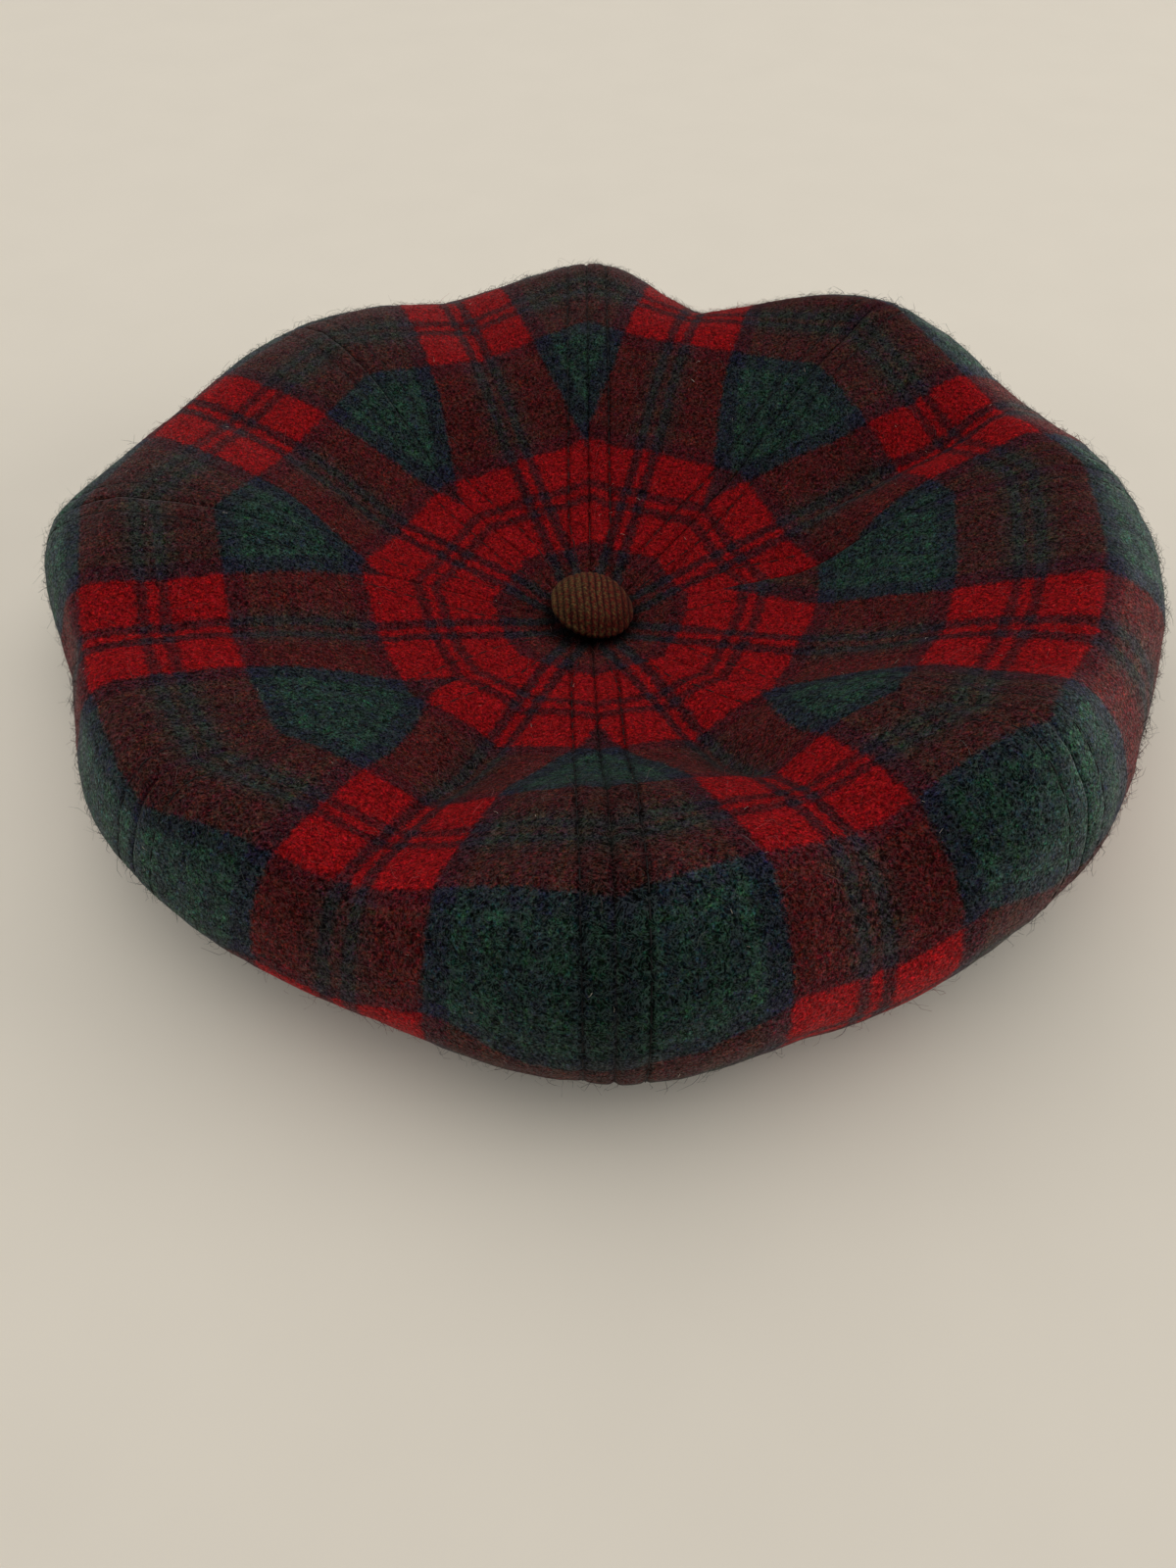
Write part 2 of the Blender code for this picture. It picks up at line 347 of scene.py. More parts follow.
def grid_faces(ids, wraps=(0, 0)):
    """The corners of each cell in a grid of points, which closes on itself down its rows or across them if wrapped."""
    ids = np.pad(ids, [(0, wrap) for wrap in wraps], mode="wrap")
    return np.stack((ids[:-1, :-1], ids[:-1, 1:], ids[1:, 1:], ids[1:, :-1]), axis=2).reshape(-1, 4)


def mesh_object(name, points, faces, surface=None, maps=(), numbers=(), vectors=()):
    """An object from points in mm, smooth-shaded if it has a surface.

    maps are corner maps, and numbers and vectors are values at the points.
    """
    mesh = bpy.data.meshes.new(name)
    mesh.from_pydata([tuple(p) for p in np.asarray(points) * MM], [], faces)
    for map_name, places in maps:
        layer = mesh.uv_layers.new(name=map_name)
        layer.uv.foreach_set("vector", np.asarray(places, np.float32).ravel())
    for kind, field, values_kept in (("FLOAT", "value", numbers), ("FLOAT_VECTOR", "vector", vectors)):
        for value_name, values in values_kept:
            attribute = mesh.attributes.new(value_name, kind, "POINT")
            attribute.data.foreach_set(field, np.asarray(values, np.float32).ravel())
    if surface:
        mesh.shade_smooth()
        mesh.materials.append(surface)
    return placed(name, mesh)


def finish_map(points, columns, caps):
    """A map for keeping the finish: round the wall from left to right, and along the gore from bottom to top."""
    loop = points.shape[1]
    wall = np.cumsum(np.concatenate(([0.0], np.linalg.norm(np.diff(points[WIDE_ROW], axis=0), axis=1))))
    wall[columns:] = wall[columns - 1] + MAP_GAP + INNER_SHARE * (wall[columns:] - wall[columns])
    u = 0.01 + 0.97 * wall / wall[-1]
    v = np.linspace(0.02, 0.98, ROWS)
    u_quads, u_after = (np.broadcast_to(x, (ROWS - 1, loop)) for x in (u, np.append(u[1:], 0.995)))
    low, high = (np.broadcast_to(x[:, None], (ROWS - 1, loop)) for x in (v[:-1], v[1:]))
    kept = np.stack((u_quads, low, u_after, low, u_after, high, u_quads, high), axis=2).reshape(-1, 2)
    row, column = np.divmod(caps, loop)
    outside = column < columns
    across_inner = np.interp(loop - 1 - column, (0, loop - columns - 1), (u[0], u[columns - 1]))
    cap_u = np.where(outside, u[np.minimum(column, columns - 1)], across_inner)
    cap_v = np.where(row == 0, np.where(outside, 0.014, 0.004), np.where(outside, 0.986, 0.996))
    return np.concatenate((kept, np.stack((cap_u, cap_v), axis=1)))


def gore(number, surface):
    """One gore as a closed wall of cloth. Returns it with its outer side's points, normals and measures."""
    turn, along, s, t, seam, length, seam_number = leaf(number, OUTER_COLUMNS)
    base = crown(turn.ravel(), along.ravel())
    normal = crown_normals(turn.ravel(), along.ravel())
    relief = sewn_relief(seam.ravel(), length.ravel(), seam_number.ravel(), base)
    outer = (base + normal * relief[:, None]).reshape(*turn.shape, 3)

    turn_in, along_in, s_in, t_in, seam_in, _, number_in = leaf(number, INNER_COLUMNS)
    below = crown_normals(turn_in.ravel(), along_in.ravel())
    thick = CLOTH + ALLOWANCE_CLOTH * np.clip((ALLOWANCE + 0.3 - seam_in.ravel()) / 0.6, 0, 1)
    inner = (crown(turn_in.ravel(), along_in.ravel()) - below * thick[:, None]).reshape(*turn_in.shape, 3)

    # The outer side from seam to seam and the inner side back make one loop for each row
    shown = np.array(SEAMS_SEEN)[seam_number], np.array(SEAMS_SEEN)[number_in]
    sides = (outer, inner), (s, s_in), (t, t_in), (seam, seam_in), shown
    points, s_loop, t_loop, seams, shown = (np.concatenate((out, back[:, ::-1]), axis=1) for out, back in sides)
    columns, loop = turn.shape[1], points.shape[1]
    ids = np.arange(ROWS * loop).reshape(ROWS, loop)
    quads = grid_faces(ids, (0, 1))
    at_out, at_in = np.linspace(0, 1, columns), np.linspace(0, 1, loop - columns)
    tip, neck = (strip(ids[row, :columns], ids[row, columns:][::-1], at_out, at_in) for row in (0, -1))
    caps = np.array([face[::-1] for face in tip] + neck)
    corners = np.concatenate((quads.ravel(), caps.ravel()))
    places = np.stack((s_loop, t_loop), axis=2).reshape(-1, 2)[corners]
    made = mesh_object(
        f"gore_{number + 1}",
        points.reshape(-1, 3),
        quads.tolist() + caps.tolist(),
        surface,
        maps=(("cloth", places), ("OFBake", finish_map(points, columns, caps.ravel()))),
        numbers=(("seam", seams), ("shown", shown)),
    )
    made.data.set_sharp_from_angle(angle=math.radians(75))
    return made, (outer, normal.reshape(outer.shape), s, t, length)


# -------- node trees


def linear(hex_colour):
    """A six-digit sRGB colour as the linear RGBA that a shader takes."""
    parts = [int(hex_colour[i : i + 2], 16) / 255 for i in (0, 2, 4)]
    return [p / 12.92 if p <= 0.04045 else ((p + 0.055) / 1.055) ** 2.4 for p in parts] + [1]


def add(tree, kind, inputs=(), **settings):
    """Adds a node with its settings. Its inputs, named or numbered, are values, sockets or nodes' first outputs."""
    made = tree.nodes.new(kind)
    for name, value in settings.items():
        setattr(made, name, value)
    for name, value in dict(inputs).items():
        source = value.outputs[0] if isinstance(value, bpy.types.Node) else value
        if isinstance(source, bpy.types.NodeSocket):
            tree.links.new(source, made.inputs[name])
        else:
            made.inputs[name].default_value = source
    return made


def calc(tree, operation, *values):
    """The result of arithmetic on numbers."""
    return add(tree, "ShaderNodeMath", dict(enumerate(values)), operation=operation).outputs[0]


def product(tree, first, *others):
    """The numbers multiplied one after another."""
    for other in others:
        first = calc(tree, "MULTIPLY", first, other)
    return first


def calc_vector(tree, operation, *values):
    """The result of arithmetic on vectors: a number for a length, a distance or a dot product, else a vector."""
    made = add(tree, "ShaderNodeVectorMath", dict(enumerate(values)), operation=operation)
    return made.outputs["Value" if operation in ("LENGTH", "DISTANCE", "DOT_PRODUCT") else "Vector"]


def scaled(tree, vector, factor):
    return add(tree, "ShaderNodeVectorMath", {0: vector, "Scale": factor}, operation="SCALE").outputs[0]


def ramped(tree, value, start, end, low, high, smooth=False):
    """Goes from low to high while the value goes from start to end, and stays there beyond them."""
    inputs = dict(enumerate((value, start, end, low, high)))
    kind = "SMOOTHSTEP" if smooth else "LINEAR"
    return add(tree, "ShaderNodeMapRange", inputs, interpolation_type=kind).outputs[0]


def mixed(tree, share, first, second):
    """A colour between two, of which the share is the second's."""
    return add(tree, "ShaderNodeMix", {0: share, 6: first, 7: second}, data_type="RGBA").outputs[2]


def noise(tree, place, scale, detail, roughness=0.5, dimensions="3D", **more):
    """A noise of so many bumps to the metre: output 0 is its height, output Color has three of them."""
    inputs = {"Vector": place, "Scale": scale, "Detail": detail, "Roughness": roughness, **more}
    return add(tree, "ShaderNodeTexNoise", inputs, noise_dimensions=dimensions).outputs


def marked(tree, name, output="Fac"):
    """What the surface's points carry under a name."""
    return add(tree, "ShaderNodeAttribute", attribute_name=name).outputs[output]


def parted(tree, vector):
    return add(tree, "ShaderNodeSeparateXYZ", {0: vector}).outputs


def bumped(tree, height, strength):
    """The normals of a surface with bumps, whose heights are in mm."""
    return add(tree, "ShaderNodeBump", {"Strength": strength, "Distance": MM, "Height": height}).outputs[0]


def new_material(name):
    """An empty material, its tree, and the place on the object that its patterns are laid out by."""
    made = bpy.data.materials.new(name)
    made.use_nodes = True
    made.node_tree.nodes.clear()
    return made, made.node_tree, add(made.node_tree, "ShaderNodeTexCoord").outputs["Object"]


def finish_material(tree, **sockets):
    """Ends a material in one Principled shader, whose sockets are given by name with _ for spaces."""
    shader = add(tree, "ShaderNodeBsdfPrincipled", {n.replace("_", " "): v for n, v in sockets.items()})
    add(tree, "ShaderNodeOutputMaterial", {"Surface": shader})


# Dark wool hides pale wool when they are milled together, so yarns are mixed as these powers of their colours
MILLING = 0.1


def yarn(hex_colour):
    return [part**MILLING for part in linear(hex_colour)[:3]] + [1]


RED_YARN = yarn("740D11")
GREEN_YARN = yarn("1D332A")
NAVY_YARN = yarn("171927")
THIN_LINE = [0.25 * a + 0.75 * b for a, b in zip(RED_YARN, yarn("131420"))]
FAINT_LINE = [(a + b) / 2 for a, b in zip(GREEN_YARN, NAVY_YARN)]
OLIVE_STRIPE = [0.35 * a + 0.65 * b for a, b in zip(RED_YARN, GREEN_YARN)]
HALF_SETT = (RED_BAND + GREEN_BAND) / 2
# The yarns from the middle of a red band to the middle of a green one, at so many mm
SETT = (
    (0, RED_YARN), (0.8, RED_YARN), (1.6, THIN_LINE), (3.5, THIN_LINE), (4.5, RED_YARN), (17, RED_YARN),
    (18.2, NAVY_YARN), (21.8, NAVY_YARN), (23.4, GREEN_YARN), (25.6, GREEN_YARN), (26.6, FAINT_LINE),
    (28.2, FAINT_LINE), (29.4, GREEN_YARN), (32.6, GREEN_YARN), (33.4, FAINT_LINE), (35, FAINT_LINE),
    (HALF_SETT, GREEN_YARN),
)
# Felting has carried fibres across the bands' edges, within so many mm
FELTING = 5.5
# What dulls the colour where yarns of two colours cross
CROSSING_TINT = (0.86, 0.76, 0.68, 1)


def sett_ramp(tree, distance):
    """The yarn colour at a distance in mm from the middle of the nearest red band."""
    ramp = add(tree, "ShaderNodeValToRGB", {0: calc(tree, "DIVIDE", distance, HALF_SETT)})
    elements = ramp.color_ramp.elements
    for at, colour in SETT[1:-1]:
        elements.new(at / HALF_SETT).color = colour
    elements[0].color = SETT[0][1]
    elements[-1].color = SETT[-1][1]
    return ramp.outputs[0]


def tartan_yarns(tree, place):
    """The tartan's colour from the cloth coordinates."""
    cloth = marked(tree, "cloth", "Vector")
    wander = noise(tree, place, 480, 5, 0.85)["Color"]
    ragged = scaled(tree, calc_vector(tree, "SUBTRACT", wander, (0.5, 0.5, 0.5)), FELTING)
    s, t, _ = parted(tree, calc_vector(tree, "ADD", cloth, ragged))
    down = calc(tree, "PINGPONG", calc(tree, "SUBTRACT", s, FIRST_RED + RED_BAND / 2), HALF_SETT)
    across = calc(tree, "PINGPONG", t, HALF_SETT)
    # Where a pair of thin lines crosses green yarns, brushing has blurred it into one broad dark green stripe
    past_ring = ramped(tree, s, 50, 62, 0, 0.45)
    blurred = []
    for own, other, most in ((down, across, 0.55), (across, down, past_ring)):
        on_green = ramped(tree, other, 17, 20, 0, most)
        near = ramped(tree, own, 5, 8.5, on_green, 0)
        blurred.append(mixed(tree, near, sett_ramp(tree, own), OLIVE_STRIPE))
    weft, warp = blurred
    # Yarns 0.9 mm apart, milled together until only a speckle of each colour is left
    share = ramped(tree, noise(tree, place, 1500, 3, 0.8)[0], 0.3, 0.7, 0.38, 0.75)
    dyed = add(tree, "ShaderNodeGamma", {0: mixed(tree, share, weft, warp), 1: 1 / MILLING})
    # Where warp and weft differ, the dark yarn's fibres lie over the other and dull it
    dulled = ramped(tree, calc_vector(tree, "DISTANCE", weft, warp), 0, 0.25, 0, 1)
    return calc_vector(tree, "MULTIPLY", dyed, mixed(tree, dulled, (1, 1, 1, 1), CROSSING_TINT))


def tartan_wool():
    """Woollen tartan, woven in a twill, milled and brushed: matt, with soft band edges, a curly nap and a sheen."""
    made, tree, place = new_material("brushed_woollen_tartan")
    yarns = tartan_yarns(tree, place)
    # Red yarn is dyed and brushed more evenly than the dark yarns
    redness = parted(tree, yarns)[0]
    uneven = ramped(tree, redness, 0.02, 0.12, 1, 0.2)
    fine_uneven = ramped(tree, redness, 0.01, 0.08, 1, 0.65)
    # Tufts of 1 mm and less stand lighter or darker, and handling has moved the nap in patches
    tufts = noise(tree, place, 1200, 1, 0.6)[0]
    tuft_light = ramped(tree, tufts, 0.35, 0.65, 0.2, 1.75)
    grain_light = ramped(tree, noise(tree, place, 2700, 0)[0], 0.3, 0.7, 0.3, 1.7)
    clump_light = ramped(tree, noise(tree, place, 600, 1)[0], 0.35, 0.65, 0.7, 1.3)
    patch_light = ramped(tree, noise(tree, place, 110, 3, 0.8)[0], 0.3, 0.7, 0.74, 1.26)
    fine, coarse = (
        calc(tree, "MULTIPLY_ADD", calc(tree, "SUBTRACT", product(tree, *lights), 1), strength, 1)
        for lights, strength in (((tuft_light, grain_light), fine_uneven), ((patch_light, clump_light), uneven))
    )
    # The seam and the topstitching beside it are drawn down into grooves, and the colour is darkened along them as
    # painted shade
    seam, shown = marked(tree, "seam"), marked(tree, "shown")
    least = ramped(tree, shown, 0.3, 1, 0.95, 0.3)
    seam_painted_shade = ramped(tree, seam, 0, 0.9, least, 1, smooth=True)
    off_line = calc(tree, "ABSOLUTE", calc(tree, "SUBTRACT", seam, TOPSTITCH))
    topstitch_painted_shade = ramped(tree, off_line, 0.35, 1.15, least, 1, smooth=True)
    # The front seam is pressed open over its allowance, and the cloth between its two rows of stitches is darkened as
    # painted shade
    cloth = marked(tree, "cloth", "Vector")
    along = parted(tree, cloth)[0]
    zone_least = ramped(tree, shown, 0.9, 1, 1, 0.55)
    zone_end = ramped(tree, along, 85, 120, 1, zone_least)
    front_seam_painted_shade = ramped(tree, seam, 5, 8, zone_end, 1, smooth=True)
    shade = product(tree, product(tree, fine, coarse), product(tree, seam_painted_shade, topstitch_painted_shade, front_seam_painted_shade))
    # No two tufts are of quite the same dye
    hues = noise(tree, place, 800, 2, 0.9)["Color"]
    dyes = calc_vector(tree, "MULTIPLY_ADD", hues, (2.6, 2.6, 2.6), (-0.3, -0.3, -0.3))
    toned = scaled(tree, calc_vector(tree, "MULTIPLY", yarns, dyes), shade)
    # Pale fibre tips stand out as specks of half a millimetre
    tips = noise(tree, place, 1750, 1, dimensions="4D", W=5)[0]
    tip_grey = product(tree, ramped(tree, tips, 0.55, 0.78, 0, 0.035), uneven)
    toned = calc_vector(tree, "ADD", toned, tip_grey)
    # Stray hairs lie in curls, as the lines where a smooth noise passes its middle: some pale, and as many dark gaps
    curls = parted(tree, noise(tree, place, 370, 1.5, Distortion=2.4)["Color"])
    hair_line, gap_line = (
        product(tree, ramped(tree, calc(tree, "ABSOLUTE", off), 0.008, 0.05, most, 0), fine_uneven)
        for off, most in ((calc(tree, "SUBTRACT", curls[0], 0.5), 0.8), (calc(tree, "SUBTRACT", curls[1], 0.5), 0.85))
    )
    gapped = mixed(tree, gap_line, toned, scaled(tree, yarns, 0.2))
    pale = calc_vector(tree, "MULTIPLY_ADD", yarns, (1.7, 1.7, 1.7), product(tree, uneven, 0.013))
    colour = mixed(tree, hair_line, gapped, pale)
    # Seen aslant, the nap's lit fibres veil the dark ground: a painted sheen added to the colour, strongest at the rim
    # and on the far left lobes
    aslant = add(tree, "ShaderNodeLayerWeight", {"Blend": 0.5}).outputs["Facing"]
    painted_sheen_strength = ramped(tree, aslant, 0.15, 1, 0, 0.065)
    thin = ramped(tree, tips, 0.4, 0.62, 0.25, 1.9)
    rim_sheen_zone = ramped(tree, along, 130, 147, 0, 1, smooth=True)
    far_left = calc_vector(tree, "DOT_PRODUCT", place, (-0.6, 0.8, 0))
    far_left_sheen_zone = ramped(tree, far_left, 0.04, 0.09, 0, ramped(tree, along, 70, 110, 0, 0.75), smooth=True)
    painted_sheen = product(tree, painted_sheen_strength, aslant, calc(tree, "MAXIMUM", rim_sheen_zone, far_left_sheen_zone), thin, fine_uneven)
    # Seen aslant, the rim's own colour is lightened too: painted sheen
    lifted = calc(tree, "MULTIPLY_ADD", ramped(tree, aslant, 0.1, 0.5, 0, 0.9), rim_sheen_zone, 1)
    # Round and under the button's edge the cloth is darkened as the button's painted shadow
    from_middle = calc_vector(tree, "LENGTH", calc_vector(tree, "MULTIPLY", place, (1, 1, 0)))
    button_painted_shadow = ramped(tree, from_middle, 0.0115, 0.017, 0.3, 1, smooth=True)
    colour = calc_vector(tree, "ADD", scaled(tree, colour, product(tree, button_painted_shadow, lifted)), painted_sheen)
    # Tufts stand about 0.2 mm high, and finer fibre on them 0.1 mm
    fibre = noise(tree, place, 1700, 3, 0.8)[0]
    height = calc(tree, "MULTIPLY_ADD", fibre, 0.22, product(tree, tufts, 0.55))
    finish_material(
        tree, Base_Color=colour, Roughness=0.95, Specular_IOR_Level=0.02, Sheen_Weight=0.04,
        Sheen_Roughness=0.2, Sheen_Tint=(0.9, 0.88, 0.86, 1), Normal=bumped(tree, height, 0.8),
    )
    return made


def nap_wool(name, palest):
    """The same wool's raised hairs, each of one yarn's colour, or paler where the dye is thin or light goes through."""
    made, tree, place = new_material(name)
    tone = marked(tree, "tone")
    own = scaled(tree, tartan_yarns(tree, place), ramped(tree, tone, 0, 1, 0.5, 1.7))
    paler = ramped(tree, tone, 0.55, 1, 0.001, palest)
    grey = add(tree, "ShaderNodeCombineXYZ", {axis: paler for axis in range(3)})
    finish_material(
        tree, Base_Color=calc_vector(tree, "ADD", own, grey), Roughness=0.8, Specular_IOR_Level=0.1,
        Sheen_Weight=0.05, Sheen_Roughness=0.4,
    )
    return made


def band_wool():
    """Plain navy melton wool, felted hard: matt and even, with a short dense nap."""
    made, tree, place = new_material("navy_melton_wool")
    tufts = noise(tree, place, 900, 5, 0.7)[0]
    light = ramped(tree, tufts, 0.3, 0.7, 0.7, 1.35)
    finish_material(
        tree, Base_Color=scaled(tree, linear("252836")[:3], light), Roughness=0.95, Specular_IOR_Level=0.15,
        Sheen_Weight=0.2, Sheen_Roughness=0.45, Normal=bumped(tree, product(tree, tufts, 0.3), 0.7),
    )
    return made


def ribbed_cloth():
    """Wool ribbed like corduroy, brown from red and green yarns, with painted light on its ribs and painted shade
    between them.
    """
    made, tree, place = new_material("ribbed_wool_cloth")
    rib = marked(tree, "rib")
    # Redder towards the right, in spots, and browner on the ribs
    spotted = ramped(tree, noise(tree, place, 1100, 1)[0], 0.35, 0.65, -0.018, 0.018)
    toward_red = calc(tree, "ADD", parted(tree, place)[0], spotted)
    toward_red = calc(tree, "MULTIPLY_ADD", rib, -0.016, toward_red)
    redder = ramped(tree, toward_red, -0.025, -0.003, 0, 1)
    ground = mixed(tree, redder, linear("46331C"), linear("4A160F"))
    grain = noise(tree, place, 1500, 4, 0.75)[0]
    grain_light = ramped(tree, grain, 0.35, 0.65, 0.2, 1.8)
    # The ribs are lightened and the gaps between them darkened: painted light and shade
    rib_painted_light_and_shade = ramped(tree, rib, 0.25, 1, 0.25, 1.2)
    # Each rib is a cord of thick yarn, whose twist shows as slanting beads 0.9 mm long
    twist = product(tree, calc_vector(tree, "DOT_PRODUCT", place, (0.55, 1, 0)), 7000)
    beads = calc(tree, "SINE", calc(tree, "MULTIPLY_ADD", grain, 9, twist))
    light = product(tree, grain_light, rib_painted_light_and_shade, ramped(tree, beads, -1, 1, 0.75, 1.2))
    finish_material(
        tree, Base_Color=scaled(tree, ground, light), Roughness=0.85, Specular_IOR_Level=0.1, Sheen_Weight=0.03,
        Sheen_Roughness=0.3, Normal=bumped(tree, product(tree, grain, 0.2), 0.7),
    )
    return made


def plain_material(name, hex_colour, grain_scale, grain_depth, **sockets):
    """A material of one colour with a fine grain, whose other sockets are given as in finish_material."""
    made, tree, place = new_material(name)
    light = ramped(tree, noise(tree, place, grain_scale, 3)[0], 0.3, 0.7, 1 - grain_depth, 1 + grain_depth)
    finish_material(tree, Base_Color=scaled(tree, linear(hex_colour)[:3], light), **sockets)
    return made


# -------- geometry nodes


def new_tree(name, sizes):
    """A geometry tree with one named number input for each size, and its input node's outputs."""
    tree = bpy.data.node_groups.new(name, "GeometryNodeTree")
    tree.interface.new_socket("Geometry", in_out="INPUT", socket_type="NodeSocketGeometry")
    for size_name, value in sizes.items():
        kind = "NodeSocketInt" if isinstance(value, int) else "NodeSocketFloat"
        tree.interface.new_socket(size_name, in_out="INPUT", socket_type=kind).default_value = value
    tree.interface.new_socket("Geometry", in_out="OUTPUT", socket_type="NodeSocketGeometry")
    return tree, tree.nodes.new("NodeGroupInput").outputs


def end_tree(tree, instances, surface):
    """Ends a tree in real geometry that wears the surface."""
    real = add(tree, "GeometryNodeRealizeInstances", {0: instances})
    add(tree, "NodeGroupOutput", {0: add(tree, "GeometryNodeSetMaterial", {0: real, "Material": surface})})
    return tree


def grown(name, source, tree, sizes):
    """Runs a tree on the source with these sizes, and returns the result as a plain piece."""
    modifier = source.modifiers.new("grow", "NODES")
    modifier.node_group = tree
    for item in tree.interface.items_tree:
        if item.in_out == "INPUT" and item.name in sizes:
            modifier[item.identifier] = sizes[item.name]
    bpy.context.view_layer.update()
    depsgraph = bpy.context.evaluated_depsgraph_get()
    mesh = bpy.data.meshes.new_from_object(source.evaluated_get(depsgraph), depsgraph=depsgraph)
    mesh.name = name
    bpy.data.objects.remove(source)
    return placed(name, mesh)


def stored(tree, geometry, name, value, domain="POINT"):
    """The geometry with a number kept on it under a name."""
    inputs = {0: geometry, "Name": name, "Value": value}
    return add(tree, "GeometryNodeStoreNamedAttribute", inputs, data_type="FLOAT", domain=domain)


def read_back(tree, name, kind):
    return add(tree, "GeometryNodeInputNamedAttribute", {"Name": name}, data_type=kind)


def chance(tree, low, high, seed):
    return add(tree, "FunctionNodeRandomValue", {2: low, 3: high, "Seed": seed}, data_type="FLOAT").outputs[1]


def filled(tree, line, width, sides, **more):
    """A line made into a rod, of a width in mm and with that many sides."""
    radius = product(tree, width, 0.5 * MM)
    ring = add(tree, "GeometryNodeCurvePrimitiveCircle", {"Resolution": sides, "Radius": radius})
    inputs = {"Curve": line, "Profile Curve": ring, "Fill Caps": True, **more}
    return add(tree, "GeometryNodeCurveToMesh", inputs)


def stitch_tree(surface):
    """A stitch on each point: a short bowed thread that lies along run, with its middle towards lift."""
    tree, sizes = new_tree("stitches", {"Stitch Length": 3.4, "Thread Width": 0.4, "Bow": 0.3})
    half = product(tree, sizes["Stitch Length"], 0.5 * MM)
    bow = product(tree, sizes["Bow"], MM)
    sunk = product(tree, bow, -1.2)
    start = add(tree, "ShaderNodeCombineXYZ", {0: product(tree, half, -1), 2: sunk})
    middle = add(tree, "ShaderNodeCombineXYZ", {2: product(tree, bow, 2)})
    end = add(tree, "ShaderNodeCombineXYZ", {0: half, 2: sunk})
    ends = {"Resolution": 6, "Start": start, "Middle": middle, "End": end}
    line = add(tree, "GeometryNodeCurveQuadraticBezier", ends)
    smooth = add(tree, "GeometryNodeSetShadeSmooth", {0: filled(tree, line, sizes["Thread Width"], 5)})
    run, lift = (read_back(tree, name, "FLOAT_VECTOR") for name in ("run", "lift"))
    laid = add(tree, "FunctionNodeAlignRotationToVector", {"Vector": run}, axis="X")
    turning = {"Rotation": laid, "Vector": lift}
    turned = add(tree, "FunctionNodeAlignRotationToVector", turning, axis="Z", pivot_axis="X")
    placing = {"Points": sizes["Geometry"], "Instance": smooth, "Rotation": turned}
    return end_tree(tree, add(tree, "GeometryNodeInstanceOnPoints", placing), surface)


def hair_tree(surface):
    """Bent tapered hairs scattered over a surface, leaning every way, each with its surface's cloth coordinates."""
    names = {"Hairs per Square Metre": 70000.0, "Length": 3.4, "Width": 0.09, "Curl": 2.0, "Seed": 3}
    tree, sizes = new_tree("hairs", names)
    scatter = {"Mesh": sizes["Geometry"], "Density": sizes["Hairs per Square Metre"], "Seed": sizes["Seed"]}
    points = add(tree, "GeometryNodeDistributePointsOnFaces", scatter)
    reach = product(tree, sizes["Length"], MM)
    middle = scaled(tree, (0.45, 0, 0.30), reach)
    end = scaled(tree, (1, 0, 0.24), reach)
    ends = {"Resolution": 2, "Start": (0, 0, -0.0003), "Middle": middle, "End": end}
    line = add(tree, "GeometryNodeCurveQuadraticBezier", ends)
    along = add(tree, "GeometryNodeSplineParameter")
    taper = ramped(tree, along, 0, 1, 1, 0.25)
    tapered = add(tree, "GeometryNodeSetCurveRadius", {0: stored(tree, line, "along", along), "Radius": taper})
    hair = filled(tree, tapered, sizes["Width"], 3, Scale=taper)
    about = add(tree, "ShaderNodeCombineXYZ", {2: chance(tree, 0, 2 * math.pi, 11)})
    spin = add(tree, "FunctionNodeEulerToRotation", {0: about})
    leaning = add(tree, "FunctionNodeRotateRotation", {0: points.outputs["Rotation"], 1: spin}, rotation_space="LOCAL")
    placing = {"Points": points, "Instance": hair, "Rotation": leaning, "Scale": chance(tree, 0.5, 1.3, 12)}
    placed = add(tree, "GeometryNodeInstanceOnPoints", placing)
    toned = stored(tree, placed, "tone", chance(tree, 0, 1, 13), "INSTANCE")
    real = add(tree, "GeometryNodeRealizeInstances", {0: toned})
    swirl = noise(tree, add(tree, "GeometryNodeInputPosition"), 330, 1)["Color"]
    centred = calc_vector(tree, "SUBTRACT", swirl, (0.5, 0.5, 0.5))
    bend = product(tree, read_back(tree, "along", "FLOAT"), product(tree, sizes["Curl"], MM))
    curled = add(tree, "GeometryNodeSetPosition", {0: real, "Offset": scaled(tree, centred, bend)})
    return end_tree(tree, curled, surface)


def rib_tree(surface):
    """Raises even ribs that run from front to back, a little slanted, and keeps how high each point stands."""
    tree, sizes = new_tree("ribs", {"Pitch": 2.2, "Height": 0.45, "Slant": 0.09})
    place = add(tree, "GeometryNodeInputPosition")
    x, y, _ = parted(tree, place)
    slid = calc(tree, "MULTIPLY_ADD", y, sizes["Slant"], x)
    uneven = calc(tree, "MULTIPLY_ADD", noise(tree, place, 120, 1)[0], 0.0012, slid)
    wave = calc(tree, "SINE", calc(tree, "DIVIDE", uneven, product(tree, sizes["Pitch"], MM / math.pi)))
    rib = calc(tree, "POWER", calc(tree, "ABSOLUTE", wave), 0.6)
    lifted = product(tree, rib, product(tree, sizes["Height"], MM))
    offset = scaled(tree, add(tree, "GeometryNodeInputNormal"), lifted)
    kept = stored(tree, sizes["Geometry"], "rib", rib)
    return end_tree(tree, add(tree, "GeometryNodeSetPosition", {0: kept, "Offset": offset}), surface)


# -------- pieces


